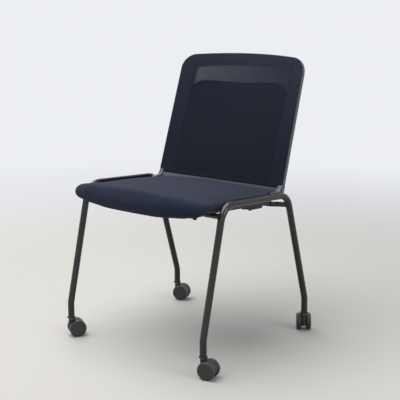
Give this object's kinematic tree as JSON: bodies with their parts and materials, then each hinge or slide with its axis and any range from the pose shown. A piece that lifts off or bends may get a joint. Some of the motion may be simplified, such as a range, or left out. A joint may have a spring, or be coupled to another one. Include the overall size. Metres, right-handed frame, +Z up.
{
  "type": "nesting chair",
  "caption": "Armless nesting chair on casters with an upholstered waterfall seat, bent tube side frames and a padded mesh-topped back.",
  "frame": {"origin": "on the floor, midway between the four legs' caster stems", "axes": "+Z up, -Y towards the front of the seat, +X to the right of a viewer who stands in front of the chair"},
  "size_m": [0.5738, 0.5677, 0.8232],
  "materials": {
    "frame_satin_black": "satin black powder coat on steel tube",
    "shell_black": "moulded polypropylene with a fine texture",
    "seat_fabric": "navy knitted upholstery fabric over foam",
    "back_knit": "navy knitted mesh stretched over the back frame",
    "back_grey": "dark grey moulded nylon, satin",
    "caster_black": "black nylon caster hood and socket",
    "wheel_nylon": "dark grey nylon wheel",
    "stem_steel": "zinc plated steel",
    "screw_steel": "blackened steel screws",
    "bumper_rubber": "black rubber stacking bumper"
  },
  "bodies": {
    "base": {"side_frame_left": "frame_satin_black", "side_frame_right": "frame_satin_black", "front_cross_bar": "frame_satin_black", "rear_cross_tube": "frame_satin_black", "seat_pan": "shell_black", "seat_cushion": "seat_fabric", "seat_clamp_left": "shell_black", "seat_clamp_right": "shell_black", "stacking_bumper_left": "bumper_rubber", "stacking_bumper_right": "bumper_rubber", "back_arm_left": "shell_black", "back_arm_right": "shell_black", "seat_screws": "screw_steel", "back_rail": "back_grey", "back_frame": "back_grey", "back_screws": "screw_steel", "back_mesh": "back_knit", "back_pad": "seat_fabric", "back_board": "shell_black", "caster_socket_front_left": "caster_black", "caster_stem_front_left": "stem_steel", "caster_socket_front_right": "caster_black", "caster_stem_front_right": "stem_steel", "caster_socket_rear_left": "caster_black", "caster_stem_rear_left": "stem_steel", "caster_socket_rear_right": "caster_black", "caster_stem_rear_right": "stem_steel"},
    "caster_front_left": {"caster_hood_front_left": "caster_black", "caster_axle_front_left": "stem_steel"},
    "wheel_a_front_left": {"caster_wheel_a_front_left": "wheel_nylon"},
    "wheel_b_front_left": {"caster_wheel_b_front_left": "wheel_nylon"},
    "caster_front_right": {"caster_hood_front_right": "caster_black", "caster_axle_front_right": "stem_steel"},
    "wheel_a_front_right": {"caster_wheel_a_front_right": "wheel_nylon"},
    "wheel_b_front_right": {"caster_wheel_b_front_right": "wheel_nylon"},
    "caster_rear_left": {"caster_hood_rear_left": "caster_black", "caster_axle_rear_left": "stem_steel"},
    "wheel_a_rear_left": {"caster_wheel_a_rear_left": "wheel_nylon"},
    "wheel_b_rear_left": {"caster_wheel_b_rear_left": "wheel_nylon"},
    "caster_rear_right": {"caster_hood_rear_right": "caster_black", "caster_axle_rear_right": "stem_steel"},
    "wheel_a_rear_right": {"caster_wheel_a_rear_right": "wheel_nylon"},
    "wheel_b_rear_right": {"caster_wheel_b_rear_right": "wheel_nylon"}
  },
  "joints": [
    {"name": "swivel_front_left", "type": "hinge", "parent": "base", "child": "caster_front_left", "pos_m": [-0.254, -0.24, 0.055], "axis": [0, 0, 1], "continuous": true},
    {"name": "spin_a_front_left", "type": "hinge", "parent": "caster_front_left", "child": "wheel_a_front_left", "pos_m": [-0.246, -0.22614, 0.025], "axis": [-0.866, 0.5, 0], "continuous": true},
    {"name": "spin_b_front_left", "type": "hinge", "parent": "caster_front_left", "child": "wheel_b_front_left", "pos_m": [-0.246, -0.22614, 0.025], "axis": [-0.866, 0.5, 0], "continuous": true},
    {"name": "swivel_front_right", "type": "hinge", "parent": "base", "child": "caster_front_right", "pos_m": [0.254, -0.24, 0.055], "axis": [0, 0, 1], "continuous": true},
    {"name": "spin_a_front_right", "type": "hinge", "parent": "caster_front_right", "child": "wheel_a_front_right", "pos_m": [0.26965, -0.23667, 0.025], "axis": [-0.2079, 0.9781, 0], "continuous": true},
    {"name": "spin_b_front_right", "type": "hinge", "parent": "caster_front_right", "child": "wheel_b_front_right", "pos_m": [0.26965, -0.23667, 0.025], "axis": [-0.2079, 0.9781, 0], "continuous": true},
    {"name": "swivel_rear_left", "type": "hinge", "parent": "base", "child": "caster_rear_left", "pos_m": [-0.254, 0.24, 0.055], "axis": [0, 0, 1], "continuous": true},
    {"name": "spin_a_rear_left", "type": "hinge", "parent": "caster_rear_left", "child": "wheel_a_rear_left", "pos_m": [-0.23897, 0.24547, 0.025], "axis": [-0.342, 0.9397, 0], "continuous": true},
    {"name": "spin_b_rear_left", "type": "hinge", "parent": "caster_rear_left", "child": "wheel_b_rear_left", "pos_m": [-0.23897, 0.24547, 0.025], "axis": [-0.342, 0.9397, 0], "continuous": true},
    {"name": "swivel_rear_right", "type": "hinge", "parent": "base", "child": "caster_rear_right", "pos_m": [0.254, 0.24, 0.055], "axis": [0, 0, 1], "continuous": true},
    {"name": "spin_a_rear_right", "type": "hinge", "parent": "caster_rear_right", "child": "wheel_a_rear_right", "pos_m": [0.24415, 0.25261, 0.025], "axis": [-0.788, -0.6157, 0], "continuous": true},
    {"name": "spin_b_rear_right", "type": "hinge", "parent": "caster_rear_right", "child": "wheel_b_rear_right", "pos_m": [0.24415, 0.25261, 0.025], "axis": [-0.788, -0.6157, 0], "continuous": true}
  ]
}
